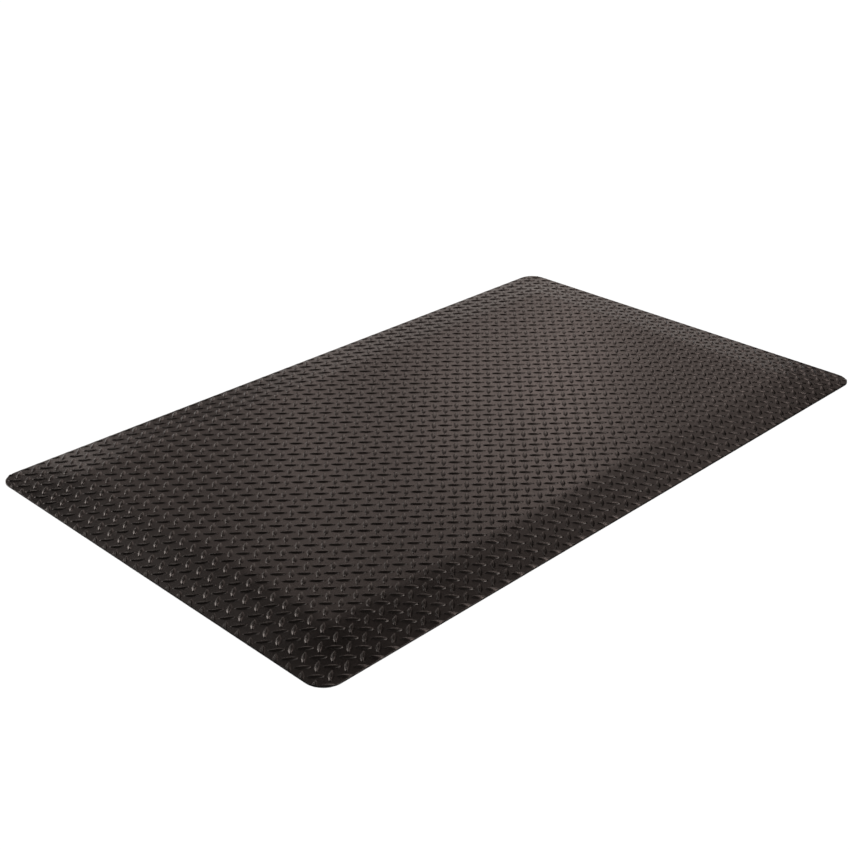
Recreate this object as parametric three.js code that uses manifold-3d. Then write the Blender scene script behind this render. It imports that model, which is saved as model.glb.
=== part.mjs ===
// Anti fatigue mat: a vinyl tread sheet laminated to a sponge core, with a bevel on all four
// sides that brings the sheet down to the floor. Millimetres, +Z up. The origin is on the
// floor under the middle of the mat, +X along its length and +Y across its width.

import * as THREE from "three";
import { mergeVertices } from "three/addons/utils/BufferGeometryUtils.js";
import Module from "manifold-3d";

// Outline
const LENGTH = 1524; // 5 ft
const WIDTH = 914.4; // 3 ft
const CORNER_RADIUS = 38.1; // 1 1/2 in

// Thicknesses, from the top down in the flat middle of the mat
const OVERALL = 14.3; // 9/16 in, floor to lug crests
const LUG_HEIGHT = 2.2;
const SHEET_GAUGE = 1.6; // vinyl under the lugs
const BOND_FILM = 0.4;
const GAP = 0.3; // between one layer and the next

// Edge profile, by distance from the mat's edge
const LIP_THICKNESS = 2; // solid vinyl at the very edge, without its lugs
const BEVEL_RUN = 125; // where the bevel ends and the flat middle starts
const BEVEL_BEND = 30; // the top of the bevel, which bends from the ramp into the flat

// The recess under the sheet, which holds the film and the sponge
const POCKET_INSET = 30;
const POCKET_RADIUS = 65;
const CORE_CLEARANCE = 0.5; // in plan, from the recess's wall to the sponge

const CORNER_CELLS = 5; // grid cells across a rounded corner
const SLOPE_CELLS = 4; // grid cells from there to the end of the bevel

const wasm = await Module();
wasm.setup();

// How far the bevel has risen at a distance from one side: 0 at the edge and 1 over the flat
// middle. It is an even ramp that bends gently into the flat at its top.
function sideRise(inset) {
  const grade = 1 / (BEVEL_RUN - BEVEL_BEND / 2);
  const bend = THREE.MathUtils.clamp((inset - BEVEL_RUN + BEVEL_BEND) / BEVEL_BEND, 0, 1);
  return grade * (Math.min(inset, BEVEL_RUN) - (BEVEL_BEND * bend ** 2) / 2);
}

// The product rounds the bevel off where two sides meet
function rise(x, y) {
  return sideRise(LENGTH / 2 - Math.abs(x)) * sideRise(WIDTH / 2 - Math.abs(y));
}

// Heights of the faces, each worked out from the sheet's surface between its lugs
const crown = OVERALL - LUG_HEIGHT;
const surface = (x, y) => LIP_THICKNESS + (crown - LIP_THICKNESS) * rise(x, y);
const lugCrests = (x, y) => surface(x, y) + LUG_HEIGHT;
const sheetUnderside = (x, y) => surface(x, y) - SHEET_GAUGE;
const filmTop = (x, y) => sheetUnderside(x, y) - GAP;
const filmUnderside = (x, y) => filmTop(x, y) - BOND_FILM;
const coreTop = (x, y) => filmUnderside(x, y) - GAP;
const floor = () => 0;
const belowFloor = () => -1;

// Distances from the mat's edge at which a layer's grid has its lines: close together under
// the bevel, with one wide cell over the flat middle.
function gridLines(inset, radius) {
  const lines = [];
  for (let i = 0; i <= CORNER_CELLS; i++) {
    lines.push(inset + (radius * i) / CORNER_CELLS);
  }
  const cornerEnd = inset + radius;
  for (let i = 1; i <= SLOPE_CELLS; i++) {
    lines.push(cornerEnd + ((BEVEL_RUN - cornerEnd) * i) / SLOPE_CELLS);
  }
  return lines;
}

// Turns the square corner of a grid into a quarter disc. a and b are the distances out from
// the corner's centre along the two sides.
function roundCorner(a, b) {
  const reach = Math.max(a, b);
  const angle = ((Math.PI / 4) * Math.min(a, b)) / reach;
  const along = reach * Math.cos(angle);
  const across = reach * Math.sin(angle);
  return a >= b ? [along, across] : [across, along];
}

// A closed slab. Its outline is a rounded rectangle set in from the mat's edge, and its two
// faces follow the height functions.
function slab(inset, radius, bottom, top) {
  const lines = gridLines(inset, radius);
  const cells = 2 * lines.length - 1;
  const box = new THREE.BoxGeometry(1, 1, 1, cells, cells, 1);
  box.deleteAttribute("normal");
  box.deleteAttribute("uv");
  const points = box.attributes.position;
  const cornerEnd = inset + radius;

  // Distance in from the nearer end of one axis, for a coordinate of the unit box
  function inFromEdge(unit) {
    const line = Math.round((unit + 0.5) * cells);
    return lines[Math.min(line, cells - line)];
  }

  for (let i = 0; i < points.count; i++) {
    let fromEnd = inFromEdge(points.getX(i));
    let fromSide = inFromEdge(points.getY(i));
    if (fromEnd < cornerEnd && fromSide < cornerEnd) {
      const [a, b] = roundCorner(cornerEnd - fromEnd, cornerEnd - fromSide);
      fromEnd = cornerEnd - a;
      fromSide = cornerEnd - b;
    }
    const x = Math.sign(points.getX(i)) * (LENGTH / 2 - fromEnd);
    const y = Math.sign(points.getY(i)) * (WIDTH / 2 - fromSide);
    const height = points.getZ(i) > 0 ? top : bottom;
    points.setXYZ(i, x, y, height(x, y));
  }
  return mergeVertices(box);
}

// a minus b, both closed meshes
function cut(a, b) {
  const solids = [a, b].map(
    (g) =>
      new wasm.Manifold(
        new wasm.Mesh({
          numProp: 3,
          vertProperties: g.attributes.position.array,
          triVerts: new Uint32Array(g.index.array),
        }),
      ),
  );
  const mesh = solids[0].subtract(solids[1]).getMesh();
  const result = new THREE.BufferGeometry();
  result.setAttribute("position", new THREE.BufferAttribute(mesh.vertProperties, 3));
  result.setIndex(new THREE.BufferAttribute(mesh.triVerts, 1));
  return result;
}

function piece(name, geometry, color, roughness) {
  const material = new THREE.MeshStandardMaterial({ color, roughness, metalness: 0 });
  material.flatShading = true;
  const mesh = new THREE.Mesh(geometry, material);
  mesh.name = name;
  return mesh;
}

// Vinyl sheet, up to its lug crests. The lip is solid down to the floor, and inside it the
// sheet is a shell over the film and the sponge.
function treadSheet() {
  const blank = slab(0, CORNER_RADIUS, floor, lugCrests);
  const pocket = slab(POCKET_INSET, POCKET_RADIUS, belowFloor, sheetUnderside);
  return piece("tread_sheet", cut(blank, pocket), 0x2c2826, 0.45);
}

// Laminating film that holds the sheet to the sponge
function bondFilm() {
  const inset = POCKET_INSET + CORE_CLEARANCE;
  const radius = POCKET_RADIUS - CORE_CLEARANCE;
  const film = slab(inset, radius, filmUnderside, filmTop);
  return piece("bond_film", film, 0x8a8172, 0.6);
}

// Closed-cell sponge: flat on the floor, its top rising under the bevel from a thin edge
function spongeCore() {
  const inset = POCKET_INSET + CORE_CLEARANCE;
  const radius = POCKET_RADIUS - CORE_CLEARANCE;
  const sponge = slab(inset, radius, floor, coreTop);
  return piece("sponge_core", sponge, 0x343335, 0.95);
}

const mat = new THREE.Group();
mat.add(treadSheet(), bondFilm(), spongeCore());

export default mat;
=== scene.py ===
"""Anti fatigue mat: a vinyl tread sheet, a laminating film and a sponge core.

Metres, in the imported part's frame: the origin is on the floor under the middle of the mat, +X along its
length, +Y across its width, +Z up. The sheet's diamond-plate lugs are real geometry.
"""

import math

import bpy
import numpy as np
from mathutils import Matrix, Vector


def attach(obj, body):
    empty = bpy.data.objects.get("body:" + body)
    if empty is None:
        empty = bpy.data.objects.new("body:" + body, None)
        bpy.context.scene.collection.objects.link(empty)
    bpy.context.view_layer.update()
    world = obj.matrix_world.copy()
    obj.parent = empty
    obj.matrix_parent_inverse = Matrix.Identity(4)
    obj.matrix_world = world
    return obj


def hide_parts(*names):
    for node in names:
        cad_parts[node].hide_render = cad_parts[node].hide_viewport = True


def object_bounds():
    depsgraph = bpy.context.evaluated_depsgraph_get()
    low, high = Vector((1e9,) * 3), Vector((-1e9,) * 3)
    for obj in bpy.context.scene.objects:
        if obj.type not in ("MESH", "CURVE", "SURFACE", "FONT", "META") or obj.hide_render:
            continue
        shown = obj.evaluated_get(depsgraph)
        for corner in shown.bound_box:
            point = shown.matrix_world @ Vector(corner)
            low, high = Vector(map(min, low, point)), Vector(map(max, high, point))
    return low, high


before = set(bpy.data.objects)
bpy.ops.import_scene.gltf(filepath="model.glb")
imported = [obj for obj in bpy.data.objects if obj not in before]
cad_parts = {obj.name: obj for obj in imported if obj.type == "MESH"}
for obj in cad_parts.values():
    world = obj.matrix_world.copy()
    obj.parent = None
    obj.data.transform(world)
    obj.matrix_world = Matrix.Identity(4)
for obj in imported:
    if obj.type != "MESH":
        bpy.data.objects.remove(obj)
cad_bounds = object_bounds()

MM = 0.001

# ---------------------------------------------------------------- sizes of the mat
LENGTH, WIDTH, OVERALL = cad_bounds[1] - cad_bounds[0]
CORNER_RADIUS = 38.1 * MM
LUG_HEIGHT = 2.2 * MM
SHEET_GAUGE = 1.6 * MM  # vinyl under the lugs
BOND_FILM = 0.4 * MM
GAP = 0.3 * MM  # between one layer and the next
LIP_THICKNESS = 2.0 * MM  # solid vinyl at the very edge, without its lugs
BEVEL_RUN = 125 * MM  # where the bevel ends and the flat middle starts
BEVEL_BEND = 30 * MM  # the top of the bevel, which bends from the ramp into the flat
POCKET_INSET = 30 * MM  # the recess under the sheet, from the mat's edge
POCKET_RADIUS = 65 * MM
POCKET_TOP_RADIUS = 25 * MM  # of the last ring under the bevel, where the flat middle starts
CORE_CLEARANCE = 0.5 * MM  # from the recess's wall to the sponge
RIM_ROUND = 0.8 * MM  # rounding of the sheet's top edge
FOOT_ROUND = 0.25 * MM  # rounding of its bottom edge
CLIMB = OVERALL - LUG_HEIGHT - LIP_THICKNESS  # of the ground, from the edge to the flat middle
GRADE = 1 / (BEVEL_RUN - BEVEL_BEND / 2)  # of the bevel's ramp, as a share of the climb per metre

# ---------------------------------------------------------------- sizes of the tread
# Half of the lugs lean towards +X -Y and half towards +X +Y. Each points at the flanks of its neighbours.
PITCH_X, PITCH_Y = 32.45 * MM, 30.26 * MM
FIRST_LUG = np.array([4.2, 2.7]) * MM  # the lug nearest the middle that leans towards +X -Y
LUG_HALF_LENGTH = 14.4 * MM
LUG_HALF_WIDTH = 5.0 * MM
STATIONS = [0.7, 0.25, -0.25, -0.7]  # a lug's cross-sections, as shares of its half length
RIDGE_END = 0.88  # the end of a lug's ridge, as a share of its half length
RIDGE_FALL = 0.35  # the lower it is, the nearer to its ends a lug keeps its height
FLANK_CURVE = 1.65  # 1 for flat flanks that meet in a sharp ridge, 2 for round ones
FLANK_SHARE = 0.5  # where across a lug its flank has a row of vertices
LUG_FADE = 7 * MM  # the lugs sink into the sheet over this distance from its edge
TIP_ROOM = 16.4 * MM  # from a lug's centre to the end of its own cell of the tread
WELD = 0.01 * MM  # vertices of neighbouring cells this near to each other are the same
SNAP = 0.12 * MM  # vertices this near to the edge are moved onto it, so that it leaves no slivers


# ---------------------------------------------------------------- profile of the sheet
def rise(inset):
    """How far the bevel has risen at a distance from one side of the mat: 0 at the edge and 1 over the
    flat middle. It is an even ramp that bends gently into the flat at its top."""
    bend = np.clip((inset - BEVEL_RUN + BEVEL_BEND) / BEVEL_BEND, 0, 1)
    return GRADE * (np.minimum(inset, BEVEL_RUN) - BEVEL_BEND * bend**2 / 2)


def rise_slope(inset):
    """How steeply the bevel rises at that distance."""
    return GRADE * np.clip((BEVEL_RUN - inset) / BEVEL_BEND, 0, 1)


def insets(x, y):
    """Distances in from the nearer end of the mat and from its nearer side."""
    return LENGTH / 2 - np.abs(x), WIDTH / 2 - np.abs(y)


def surface(x, y):
    """Height of the sheet's ground between its lugs: the bevel and the flat middle."""
    from_end, from_side = insets(x, y)
    risen = rise(from_end) * rise(from_side)
    return LIP_THICKNESS + CLIMB * risen


def surface_slopes(x, y):
    """How steeply the ground climbs along x and along y."""
    from_end, from_side = insets(x, y)
    along_x = rise_slope(from_end) * rise(from_side)
    along_y = rise_slope(from_side) * rise(from_end)
    return -np.sign(x) * CLIMB * along_x, -np.sign(y) * CLIMB * along_y


def sheet_underside(x, y):
    return surface(x, y) - SHEET_GAUGE


def film_top(x, y):
    return sheet_underside(x, y) - GAP


def film_underside(x, y):
    return film_top(x, y) - BOND_FILM


def core_top(x, y):
    return film_underside(x, y) - GAP


def floor_level(x, y):
    return np.zeros_like(x)


# ---------------------------------------------------------------- outlines
CORNER_STEPS = 14
SLOPE_RINGS = 7  # under the bevel, from the recess's outline inwards
RING_SPACING = 12 * MM  # between the points of a ring along the mat's straight sides
CORNERS = [(1, 1), (-1, 1), (-1, -1), (1, -1)]  # counter-clockwise
SHARP_ANGLE = math.radians(50)  # an edge whose faces turn by more than this isn't shaded smooth


def outline(inset, radius):
    """The corner arcs' points of a rounded rectangle set in from the mat's edge, counter-clockwise."""
    half_x, half_y = LENGTH / 2 - inset - radius, WIDTH / 2 - inset - radius
    points = []
    for turn, (side_x, side_y) in enumerate(CORNERS):
        for angle in np.linspace(turn, turn + 1, CORNER_STEPS + 1) * math.pi / 2:
            across, along = radius * math.cos(angle), radius * math.sin(angle)
            points.append((side_x * half_x + across, side_y * half_y + along))
    return np.array(points)


def filled_in(points, spacing):
    """The same closed outline with points added along its straight sides."""
    result = []
    for start, end in zip(points, np.roll(points, -1, axis=0)):
        steps = max(1, round(np.linalg.norm(end - start) / spacing))
        result += [start + (end - start) * step / steps for step in range(steps)]
    return np.array(result)


def moved(points, old, new):
    """Points on one rounded rectangle, moved onto another. Each is given as (inset, radius)."""
    old_half = np.array([LENGTH, WIDTH]) / 2 - sum(old)
    new_half = np.array([LENGTH, WIDTH]) / 2 - sum(new)
    size, sign = np.abs(points), np.where(points < 0, -1, 1)
    past = np.maximum(size - old_half, 0)
    angle = np.arctan2(past[:, 1], past[:, 0])
    on_arc = new_half + new[1] * np.stack([np.cos(angle), np.sin(angle)], axis=1)
    return sign * np.where(size < old_half, size / old_half * new_half, on_arc)


# ---------------------------------------------------------------- closed meshes grown ring by ring
class Solid:
    """A closed mesh that grows outwards over its top, down its side and back in under itself.

    Every ring runs counter-clockwise, seen from above.
    """

    def __init__(self):
        self.points, self.faces, self.ring = [], [], None

    def start_from(self, points, faces, ring):
        """Starts from a ready top, whose edge is the vertices in ring."""
        self.points, self.faces, self.ring = [tuple(p) for p in points], [tuple(f) for f in faces], ring

    def start_at_centre(self, plan, height):
        """Starts from a fan round the mat's centre."""
        self.points = [(0, 0, float(height(0, 0)))]
        self.add(plan, height)
        self.faces = [(0, a, b) for a, b in zip(self.ring, np.roll(self.ring, -1))]

    def add_points(self, plan, height):
        """Makes a new ring and gives back the last one. height is a number, one for each point, or a
        function of x and y."""
        x, y = plan.T
        heights = height(x, y) if callable(height) else np.broadcast_to(height, len(plan))
        last, first = self.ring, len(self.points)
        self.points += list(zip(x, y, heights))
        self.ring = np.arange(first, len(self.points))
        return last

    def add(self, plan, height):
        """Adds a ring with as many points as the one before."""
        last = self.add_points(plan, height)
        if last is not None:
            self.faces += list(zip(self.ring, np.roll(self.ring, -1), np.roll(last, -1), last))

    def add_other(self, plan, height):
        """Adds a ring with another number of points. The two are matched by bearings from the centre."""
        last = self.add_points(plan, height)
        rings = []
        for ring in (last, self.ring):
            bearings = np.array([math.atan2(self.points[i][1], self.points[i][0]) for i in ring])
            first = int(np.argmin(bearings))
            bearings = np.roll(bearings, -first)
            rings.append((np.roll(ring, -first), np.append(bearings, bearings[0] + 2 * math.pi)))
        (upper, upper_at), (lower, lower_at) = rings
        i, j = 0, 0
        while i < len(upper) or j < len(lower):
            here, below = upper[i % len(upper)], lower[j % len(lower)]
            if j == len(lower) or (i < len(upper) and upper_at[i + 1] <= lower_at[j + 1]):
                i += 1
                self.faces.append((below, upper[i % len(upper)], here))
            else:
                j += 1
                self.faces.append((below, lower[j % len(lower)], here))

    def close(self, height):
        """Closes the underside with a fan round the mat's centre."""
        centre = len(self.points)
        self.points.append((0, 0, float(height(0, 0))))
        self.faces += [(centre, b, a) for a, b in zip(self.ring, np.roll(self.ring, -1))]

    def build(self, name):
        mesh = bpy.data.meshes.new(name)
        mesh.from_pydata(self.points, [], [tuple(int(i) for i in face) for face in self.faces])
        mesh.shade_smooth()
        mesh.set_sharp_from_angle(angle=SHARP_ANGLE)
        piece = bpy.data.objects.new(name, mesh)
        bpy.context.scene.collection.objects.link(piece)
        return piece


def slope_outlines(inset, radius):
    """(inset, radius) of the rings from the recess's outline to the end of the bevel."""
    ring_insets = np.linspace(inset, BEVEL_RUN, SLOPE_RINGS)
    ring_radii = np.linspace(radius, POCKET_TOP_RADIUS, SLOPE_RINGS)
    return list(zip(ring_insets, ring_radii))


# ---------------------------------------------------------------- tread
def lug_height(along, across):
    """Height of a lug over the ground. along is a share of its half length, and across is a share of its
    half width there. The outline is a lens with pointed ends."""
    taper = (1 - along**2) / (1 - min(map(abs, STATIONS)) ** 2)
    return LUG_HEIGHT * taper**RIDGE_FALL * (1 - across**FLANK_CURVE)


def lug_cell():
    """A lug that leans towards +X -Y, with the ground round it. Cells set out at the tread's pitch meet
    along their edges. Each row is a vertex: x, y, height over the ground."""
    lean = math.atan2(-PITCH_Y, PITCH_X)
    rows, faces = [], []

    def corner(x, y):
        rows.append((x, y, 0))
        return len(rows) - 1

    def vertex(along, across=0.0, side=1):
        forward, left = along * LUG_HALF_LENGTH, side * across * LUG_HALF_WIDTH * (1 - along**2)
        cos, sin = math.cos(lean), math.sin(lean)
        rows.append((forward * cos - left * sin, forward * sin + left * cos, lug_height(along, across)))
        return len(rows) - 1

    tips = [vertex(1), vertex(-1)]
    crest = [vertex(along) for along in (RIDGE_END, *STATIONS, -RIDGE_END)]
    half_x, half_y = PITCH_X / 2, PITCH_Y / 2
    tip_share = TIP_ROOM / math.hypot(half_x, half_y)
    ends = [corner(side * tip_share * half_x, -side * tip_share * half_y) for side in (1, -1)]

    for side in (1, -1):
        foot = [vertex(along, 1.0, side) for along in STATIONS]
        flank = [vertex(along, FLANK_SHARE, side) for along in STATIONS]
        near_corner = corner(half_x, 0) if side > 0 else corner(0, -half_y)
        far_corner = corner(0, half_y) if side > 0 else corner(-half_x, 0)
        notch = corner(side * (1 - tip_share) * half_x, side * (1 - tip_share) * half_y)

        ground = [(ends[0], near_corner, tips[0]), (near_corner, foot[0], tips[0])]
        ground += [(near_corner, foot[1], foot[0]), (near_corner, notch, foot[1])]
        ground += [(notch, foot[2], foot[1]), (notch, far_corner, foot[2])]
        ground += [(far_corner, foot[3], foot[2]), (far_corner, tips[1], foot[3])]
        ground += [(far_corner, ends[1], tips[1])]

        outer, inner = [tips[0], *foot, tips[1]], [crest[0], *flank, crest[-1]]
        lug = []
        for ring_out, ring_in in ((outer, inner), (inner, crest)):
            for i in range(len(ring_out) - 1):
                lug.append((ring_out[i], ring_out[i + 1], ring_in[i]))
                lug.append((ring_out[i + 1], ring_in[i + 1], ring_in[i]))
        lug = [face for face in lug if len(set(face)) == 3]
        faces += [face if side > 0 else face[::-1] for face in ground + lug]
    return np.array(rows, dtype=float), np.array(faces)


def tread_plane():
    """The lugs and the ground between them over more than the whole mat, on a level ground."""
    rows, faces = lug_cell()
    mirrored = rows * [1, -1, 1]
    all_rows, all_faces = [], []
    reach_x, reach_y = LENGTH / 2 + PITCH_X, WIDTH / 2 + PITCH_Y
    for cell, order, offset in ((rows, faces, 0.0), (mirrored, faces[:, ::-1], 0.5)):
        columns = np.arange(-reach_x // PITCH_X, reach_x // PITCH_X + 1) + offset
        lines = np.arange(-reach_y // PITCH_Y, reach_y // PITCH_Y + 1) + offset
        for column in columns:
            for line in lines:
                centre = FIRST_LUG + (column * PITCH_X, line * PITCH_Y)
                all_faces.append(order + len(rows) * len(all_rows))
                all_rows.append(cell + [*centre, 0])
    all_rows, all_faces = np.concatenate(all_rows), np.concatenate(all_faces)
    off_grid = 0.3  # keeps shared vertices off the lines between two places
    places = np.floor(all_rows[:, :2] / WELD + off_grid).astype(int)
    _, kept, merged = np.unique(places, axis=0, return_index=True, return_inverse=True)
    return all_rows[kept], merged.reshape(-1)[all_faces]


def clipped(rows, faces, edge):
    """The part of a mesh of triangles inside a convex outline. x and y are a row's first two numbers."""
    for start, end in zip(edge, np.roll(edge, -1, axis=0)):
        heading = (end - start) / np.linalg.norm(end - start)
        inward = np.array([-heading[1], heading[0]])
        depth = (rows[:, :2] - start) @ inward
        close = np.abs(depth) < SNAP
        rows[close, :2] -= depth[close, None] * inward
        depth[close] = 0
        inside = depth >= 0
        count = inside[faces].sum(axis=1)
        cut, made, extra = [], {}, []
        for face in faces[(count > 0) & (count < 3)]:
            polygon = []
            for a, b in zip(face, np.roll(face, -1)):
                if inside[a]:
                    polygon.append(a)
                if inside[a] != inside[b] and depth[a] != 0 and depth[b] != 0:
                    key = (min(a, b), max(a, b))
                    if key not in made:
                        made[key] = len(rows) + len(extra)
                        extra.append(rows[a] + (rows[b] - rows[a]) * depth[a] / (depth[a] - depth[b]))
                    polygon.append(made[key])
            cut += [(polygon[0], polygon[i], polygon[i + 1]) for i in range(1, len(polygon) - 1)]
        faces = np.concatenate([faces[count == 3], np.array(cut, dtype=int).reshape(-1, 3)])
        rows = np.concatenate([rows, np.array(extra).reshape(-1, rows.shape[1])])
    used, faces = np.unique(faces, return_inverse=True)
    return rows[used], faces.reshape(-1, 3)


def edge_loop(faces):
    """The vertices round the edge of a mesh, in the order of its faces."""
    directed = {(int(a), int(b)) for face in faces for a, b in zip(face, np.roll(face, -1))}
    after = {a: b for a, b in directed if (b, a) not in directed}
    loop = [min(after)]
    while after[loop[-1]] != loop[0]:
        loop.append(after[loop[-1]])
    return np.array(loop)


def corner_normals(points, faces, lug):
    """Normals at the corners of the top's triangles. A lug's are smoothed over the lug alone, so that its
    foot is a crisp line, and the ground's follow the bevel."""
    x, y, _ = points.T
    slope_x, slope_y = surface_slopes(x, y)
    ground = np.stack([-slope_x, -slope_y, np.ones(len(x))], axis=1)
    on_lug = lug[faces].max(axis=1) > 0
    a, b, c = np.moveaxis(points[faces[on_lug]], 1, 0)
    smoothed = np.zeros_like(points)
    for corner in range(3):
        np.add.at(smoothed, faces[on_lug][:, corner], np.cross(b - a, c - a))
    normals = np.where(on_lug[:, None, None], smoothed[faces], ground[faces])
    return (normals / np.linalg.norm(normals, axis=2, keepdims=True)).reshape(-1, 3)


def make_tread():
    """The vinyl sheet: lugs on top, a rounded cut edge, and a recess for the film and the sponge."""
    turned = 1 - math.sqrt(0.5)  # drop half way round a rounded edge, as a share of its radius
    top_edge = (RIM_ROUND, CORNER_RADIUS - RIM_ROUND)
    half_round = (RIM_ROUND * turned, CORNER_RADIUS - RIM_ROUND * turned)
    edge = (0, CORNER_RADIUS)
    foot = (FOOT_ROUND, CORNER_RADIUS - FOOT_ROUND)
    rows, faces = clipped(*tread_plane(), outline(*top_edge))
    x, y, lug = rows.T
    lug = lug * np.clip(np.minimum(*insets(x, y)) / LUG_FADE, 0, 1)
    points = np.stack([x, y, surface(x, y) + lug], axis=1)
    loop = edge_loop(faces)

    solid = Solid()
    solid.start_from(points, faces, loop)
    plan, top = points[loop, :2], points[loop, 2]
    solid.add(moved(plan, top_edge, half_round), top - RIM_ROUND * turned)
    first_cut = len(solid.faces)
    solid.add(moved(plan, top_edge, edge), top - RIM_ROUND)

    plan = filled_in(outline(*edge), RING_SPACING)
    solid.add_other(plan, FOOT_ROUND)
    solid.add(moved(plan, edge, foot), 0)
    pocket = slope_outlines(POCKET_INSET, POCKET_RADIUS)
    solid.add(moved(plan, edge, pocket[0]), 0)
    for ring in pocket:
        solid.add(moved(plan, edge, ring), sheet_underside)
    solid.close(sheet_underside)

    piece = solid.build("tread_sheet_skin")
    mesh = piece.data
    normals = corner_normals(points, faces, lug)
    left_as_is = np.zeros((len(mesh.loops) - len(normals), 3))  # a zero keeps a corner's own normal
    mesh.normals_split_custom_set(np.concatenate([normals, left_as_is]))
    crest = np.concatenate([lug / LUG_HEIGHT, np.zeros(len(solid.points) - len(rows))])
    mesh.attributes.new("crest", "FLOAT", "POINT").data.foreach_set("value", crest)
    mesh.polygons.foreach_set("material_index", [int(i >= first_cut) for i in range(len(solid.faces))])
    return piece


# ---------------------------------------------------------------- film and sponge
def make_layer(name, top, underside):
    """A closed slab in the recess. Its two faces follow the height functions."""
    inset, radius = POCKET_INSET + CORE_CLEARANCE, POCKET_RADIUS - CORE_CLEARANCE
    rings = slope_outlines(inset, radius)
    plan = filled_in(outline(*rings[0]), RING_SPACING)
    solid = Solid()
    solid.start_at_centre(moved(plan, rings[0], rings[-1]), top)
    for ring in rings[-2::-1]:
        solid.add(moved(plan, rings[0], ring), top)
    for ring in rings:
        solid.add(moved(plan, rings[0], ring), underside)
    solid.close(underside)
    return solid.build(name)


# ---------------------------------------------------------------- materials
class Nodes:
    """A material's node tree, with short ways to add nodes and link them."""

    def __init__(self, name):
        self.material = bpy.data.materials.new(name)
        self.material.use_nodes = True
        self.tree = self.material.node_tree
        self.shader = self.tree.nodes["Principled BSDF"]
        self.place = self.add("ShaderNodeTexCoord").outputs["Object"]

    def add(self, kind, settings=None, **inputs):
        node = self.tree.nodes.new(kind)
        for key, value in (settings or {}).items():
            setattr(node, key, value)
        self.put_all(node, inputs)
        return node

    def put(self, socket, value):
        """Links another node's output to a socket, or sets it to a number or a colour."""
        if isinstance(value, bpy.types.NodeSocket):
            self.tree.links.new(value, socket)
        else:
            socket.default_value = (*value, 1) if isinstance(value, tuple) else value

    def put_all(self, node, inputs):
        for key, value in inputs.items():
            self.put(node.inputs[key.replace("_", " ")], value)

    def noise(self, size, detail=3.0):
        """Soft noise between 0 and 1 whose blotches are about size across."""
        scale, roughness = 1 / size, 0.55
        node = self.add("ShaderNodeTexNoise", Vector=self.place, Scale=scale, Detail=detail,
                        Roughness=roughness)
        return node.outputs["Fac"]

    def cells(self, size):
        """Distance from the middle of the nearest cell, where cells are about size across."""
        return self.add("ShaderNodeTexVoronoi", Vector=self.place, Scale=1 / size).outputs["Distance"]

    def remap(self, value, low, high, new_low, new_high):
        """Carries the range from low to high over to the range from new_low to new_high."""
        node = self.add("ShaderNodeMapRange", Value=value, From_Min=low, From_Max=high, To_Min=new_low,
                        To_Max=new_high)
        return node.outputs["Result"]

    def spread(self, noise, new_low, new_high):
        """The middle of a noise's range, where most of it lies, carried over to another range."""
        return self.remap(noise, 0.3, 0.7, new_low, new_high)

    def maths(self, operation, a, b):
        node = self.add("ShaderNodeMath", {"operation": operation})
        self.put(node.inputs[0], a)
        self.put(node.inputs[1], b)
        return node.outputs["Value"]

    def mix(self, share, a, b):
        """A colour between a and b. The node has sockets of one name for each kind of data, so the ones
        for colours are picked by their places."""
        node = self.add("ShaderNodeMix", {"data_type": "RGBA"})
        factor, colour_a, colour_b = (node.inputs[place] for place in (0, 6, 7))
        self.put(factor, share)
        self.put(colour_a, a)
        self.put(colour_b, b)
        return node.outputs[2]

    def bump(self, height, distance, **under):
        """A bumped normal, distance deep. Normal, if given, is another bump that this one lies on."""
        node = self.add("ShaderNodeBump", Height=height, Distance=distance, Strength=1.0, **under)
        return node.outputs["Normal"]

    def attribute(self, name):
        return self.add("ShaderNodeAttribute", {"attribute_name": name}).outputs["Fac"]

    def finish(self, **inputs):
        self.put_all(self.shader, inputs)
        return self.material


def tread_vinyl():
    """Semi-gloss warm black vinyl: fine grain, faint mottling, and crests rubbed a little smoother and
    greyer."""
    dark, light, rubbed = (0.0040, 0.0034, 0.0031), (0.0056, 0.0048, 0.0043), (0.012, 0.0105, 0.0095)
    nodes = Nodes("tread_vinyl")
    mottle = nodes.noise(45 * MM, detail=4.0)
    grain = nodes.noise(0.9 * MM, detail=2.0)
    worn = nodes.remap(nodes.attribute("crest"), 0.72, 1.0, 0.0, 0.35)
    colour = nodes.mix(nodes.spread(mottle, 0.0, 1.0), dark, light)
    colour = nodes.mix(worn, colour, rubbed)
    roughness = nodes.spread(mottle, 0.26, 0.30)
    roughness = nodes.maths("ADD", roughness, nodes.spread(grain, -0.02, 0.02))
    roughness = nodes.maths("SUBTRACT", roughness, nodes.maths("MULTIPLY", worn, 0.1))
    skin = nodes.bump(grain, 0.02 * MM)
    skin = nodes.bump(nodes.noise(6 * MM, detail=2.0), 0.08 * MM, Normal=skin)
    return nodes.finish(Base_Color=colour, Roughness=roughness, Normal=skin)


def cut_vinyl():
    """The sheet's cut edge and its back: matt, darker than the face, with the knife's faint drag marks."""
    dark, light = (0.003, 0.0027, 0.0026), (0.006, 0.0055, 0.005)
    nodes = Nodes("cut_vinyl")
    drag = nodes.noise(1.5 * MM)
    colour = nodes.mix(drag, dark, light)
    roughness = nodes.spread(drag, 0.7, 0.85)
    skin = nodes.bump(drag, 0.05 * MM)
    return nodes.finish(Base_Color=colour, Roughness=roughness, Specular_IOR_Level=0.12, Normal=skin)


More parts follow.
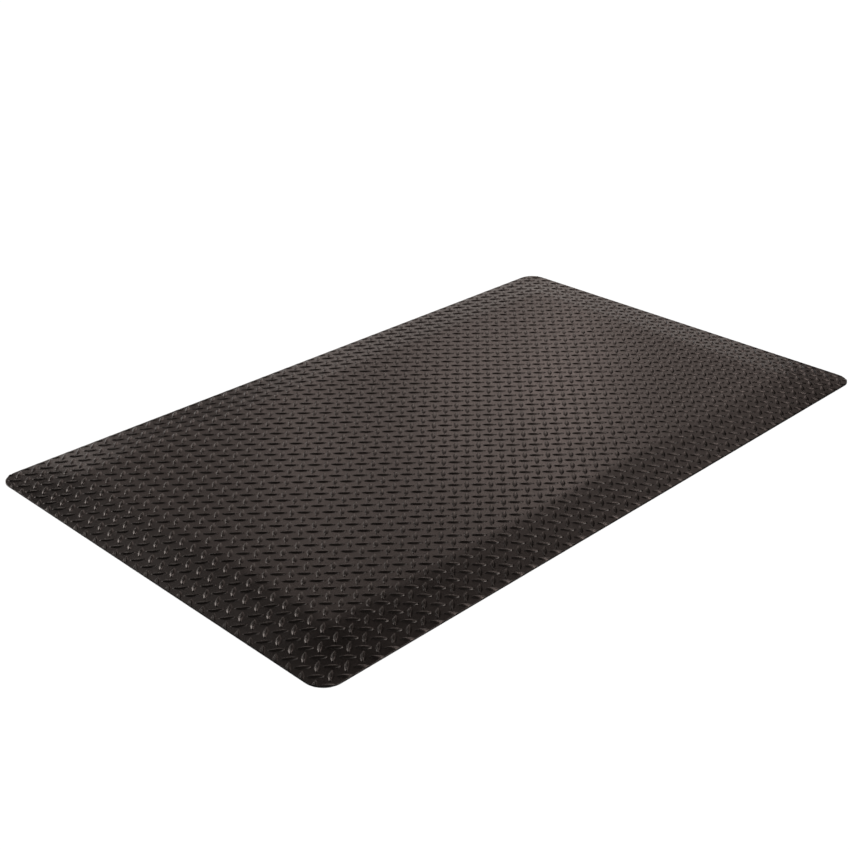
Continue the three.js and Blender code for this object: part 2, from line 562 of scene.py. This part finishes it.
def laminating_film():
    """Cloudy adhesive film, greyish amber."""
    dark, light = (0.30, 0.26, 0.20), (0.46, 0.42, 0.34)
    nodes = Nodes("laminating_film")
    cloud = nodes.noise(14 * MM, detail=5.0)
    colour = nodes.mix(nodes.remap(cloud, 0.35, 0.65, 0.0, 1.0), dark, light)
    roughness = nodes.spread(cloud, 0.38, 0.6)
    skin = nodes.bump(nodes.noise(2 * MM), 0.05 * MM)
    return nodes.finish(Base_Color=colour, Roughness=roughness, Normal=skin)


def closed_cell_sponge():
    """Charcoal sponge: shut pores in a matt skin, with cloudy colour and painted shade in the pores."""
    # the third colour is painted shade for the hollows of the pores
    dark, light, painted_pore_shade = (0.030, 0.029, 0.030), (0.044, 0.043, 0.044), (0.012, 0.012, 0.012)
    nodes = Nodes("closed_cell_sponge")
    pores = nodes.cells(0.9 * MM)
    large_pores = nodes.cells(3.2 * MM)
    cloud = nodes.noise(60 * MM, detail=4.0)
    colour = nodes.mix(nodes.spread(cloud, 0.0, 1.0), dark, light)
    # painted shade: the middle of each pore is darkened, as if shade lay in the hollow
    colour = nodes.mix(nodes.remap(pores, 0.0, 0.3, 0.6, 0.0), colour, painted_pore_shade)
    roughness = nodes.spread(cloud, 0.82, 0.94)
    skin = nodes.bump(nodes.remap(pores, 0.0, 0.45, 0.0, 1.0), 0.15 * MM)
    skin = nodes.bump(nodes.remap(large_pores, 0.0, 0.25, 0.0, 1.0), 0.1 * MM, Normal=skin)
    return nodes.finish(Base_Color=colour, Roughness=roughness, Normal=skin)


# ---------------------------------------------------------------- pieces
def settle(piece, node, slot, *materials):
    """Gives a piece its materials, hangs it on the root body and hides the imported part named node."""
    for material in materials:
        piece.data.materials.append(material)
    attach(piece, "root")
    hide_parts(node)


tread = make_tread()
film = make_layer("bond_film_skin", film_top, film_underside)
sponge = make_layer("sponge_core_skin", core_top, floor_level)
settle(tread, "tread_sheet", "tread_vinyl", tread_vinyl(), cut_vinyl())
settle(film, "bond_film", "laminating_film", laminating_film())
settle(sponge, "sponge_core", "closed_cell_sponge", closed_cell_sponge())


# ---------------------------------------------------------------- floor, lights and camera
def direction(azimuth, elevation):
    """Unit vector at an azimuth from +X towards +Y and an elevation, in degrees."""
    turn, tilt = math.radians(azimuth), math.radians(elevation)
    return Vector((math.cos(turn) * math.cos(tilt), math.sin(turn) * math.cos(tilt), math.sin(tilt)))


def make_floor():
    """A wide sheet of pale paper just under the mat."""
    half, level = 30.0, -0.2 * MM
    floor_mesh = bpy.data.meshes.new("floor")
    floor_mesh.from_pydata([(x * half, y * half, level) for x, y in CORNERS], [], [(0, 1, 2, 3)])
    floor = bpy.data.objects.new("floor", floor_mesh)
    bpy.context.scene.collection.objects.link(floor)
    grey = (0.86, 0.86, 0.86)
    paper = Nodes("floor_paper").finish(Base_Color=grey, Roughness=0.9, Specular_IOR_Level=0.0)
    floor_mesh.materials.append(paper)
    return floor


def add_light(name, kind, energy, lit):
    """A light that shines on the objects in lit and on nothing else."""
    light = bpy.data.lights.new(name, kind)
    light.energy = energy
    lamp = bpy.data.objects.new(name, light)
    lamp.visible_camera = False
    bpy.context.scene.collection.objects.link(lamp)
    lamp.light_linking.receiver_collection = bpy.data.collections.new(name + "_lit")
    for thing in lit:
        lamp.light_linking.receiver_collection.objects.link(thing)
    return lamp


def softbox(name, azimuth, elevation, size, radiance, colour):
    """A rectangular light that faces the mat. radiance is its brightness seen from the mat."""
    distance = 4.0
    box = add_light(name, "AREA", radiance * math.pi * size[0] * size[1], (tread, film, sponge))
    box.data.shape = "RECTANGLE"
    box.data.size, box.data.size_y = size
    box.data.color = colour
    box.location = direction(azimuth, elevation) * distance
    box.rotation_euler = direction(azimuth, elevation).to_track_quat("Z", "Y").to_euler()


def make_world():
    """A dim studio. To the camera alone it looks almost as pale as the floor."""
    world = bpy.data.worlds.new("studio")
    world.use_nodes = True
    tree = world.node_tree
    tree.nodes["Background"].inputs["Color"].default_value = (0.015, 0.0135, 0.013, 1)
    pale = tree.nodes.new("ShaderNodeBackground")
    pale.inputs["Color"].default_value = (0.97, 0.97, 0.97, 1)
    path, mix = tree.nodes.new("ShaderNodeLightPath"), tree.nodes.new("ShaderNodeMixShader")
    tree.links.new(path.outputs["Is Camera Ray"], mix.inputs["Fac"])
    tree.links.new(tree.nodes["Background"].outputs["Background"], mix.inputs[1])
    tree.links.new(pale.outputs["Background"], mix.inputs[2])
    tree.links.new(mix.outputs["Shader"], tree.nodes["World Output"].inputs["Surface"])
    bpy.context.scene.world = world


def make_lights():
    """A backdrop behind the mat, which the ground between the lugs mirrors, and softboxes round the mat
    that pick out the lugs' flanks. The overhead light is for the floor alone."""
    warm, pale = (1.0, 0.80, 0.73), (1.0, 0.88, 0.82)
    # azimuth and elevation in degrees, width and height in metres, radiance and colour
    softbox("backdrop_foot", 40, 8, (3.0, 0.8), 1.05, pale)
    softbox("backdrop_right", 25, 27, (1.6, 1.6), 0.55, warm)
    softbox("backdrop_middle", 45, 27, (1.6, 1.6), 0.6, warm)
    softbox("backdrop_left", 65, 27, (1.6, 1.6), 0.45, warm)
    softbox("backdrop_glow", 38, 26, (1.0, 0.4), 1.3, warm)
    softbox("backdrop_top", 50, 32, (1.2, 0.5), 0.3, warm)
    softbox("left_glow", 80, 11, (1.2, 0.6), 1.9, pale)
    softbox("left_softbox", 112, 17, (2.0, 1.6), 4.5, pale)
    softbox("high_left_softbox", 92, 50, (1.2, 1.0), 2.0, pale)
    softbox("right_softbox", -12, 62, (1.8, 1.0), 5.0, warm)
    softbox("right_front_softbox", -80, 40, (2.0, 1.6), 7.0, pale)
    softbox("front_softbox", 225, 40, (2.0, 1.6), 3.5, pale)
    overhead = add_light("overhead_light", "SUN", 3.75, (floor,))
    overhead.data.angle = math.radians(60)  # wide, for soft shadows


def make_camera():
    """The photo's camera, worked out from the mat's four straight edges."""
    looks_along = Vector((0.63409, 0.62782, -0.45141))
    camera = bpy.data.objects.new("camera", bpy.data.cameras.new("camera"))
    camera.data.lens = 58.81
    camera.location = (-1.81406, -1.70919, 1.26404)
    camera.rotation_euler = looks_along.to_track_quat("-Z", "Y").to_euler()
    bpy.context.scene.collection.objects.link(camera)
    bpy.context.scene.camera = camera


floor = make_floor()
make_world()
make_lights()
make_camera()
bpy.context.scene.view_settings.view_transform = "Standard"
